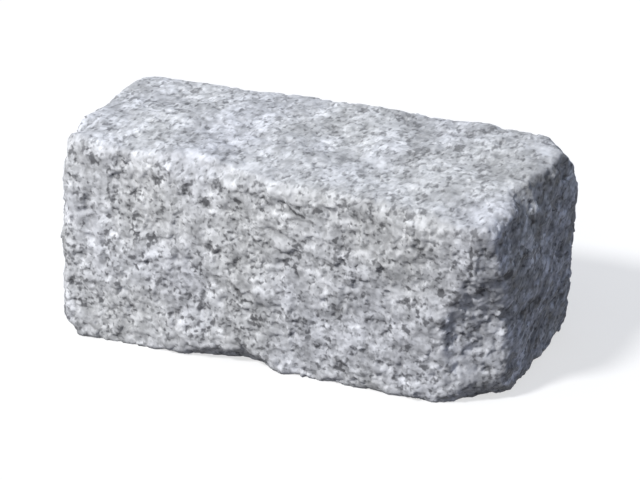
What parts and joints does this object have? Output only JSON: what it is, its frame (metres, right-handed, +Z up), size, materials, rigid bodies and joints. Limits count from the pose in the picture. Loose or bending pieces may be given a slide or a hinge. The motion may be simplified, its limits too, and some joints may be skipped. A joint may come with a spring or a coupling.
{
  "type": "granite belgian block",
  "caption": "Hand-split granite paving block: a rough rectangular stone with rippled split faces, worn edges and a large flake scar on one lower corner.",
  "frame": {"origin": "on the bed, the flat underside, at the middle of the block's length and width", "axes": "X along the block's length, Y across from its front face to its back face, Z up from the bed"},
  "size_m": [0.236, 0.1154, 0.1059],
  "materials": {
    "granite": "rough split"
  },
  "bodies": {
    "root": {"granite_block": "granite"}
  },
  "joints": []
}
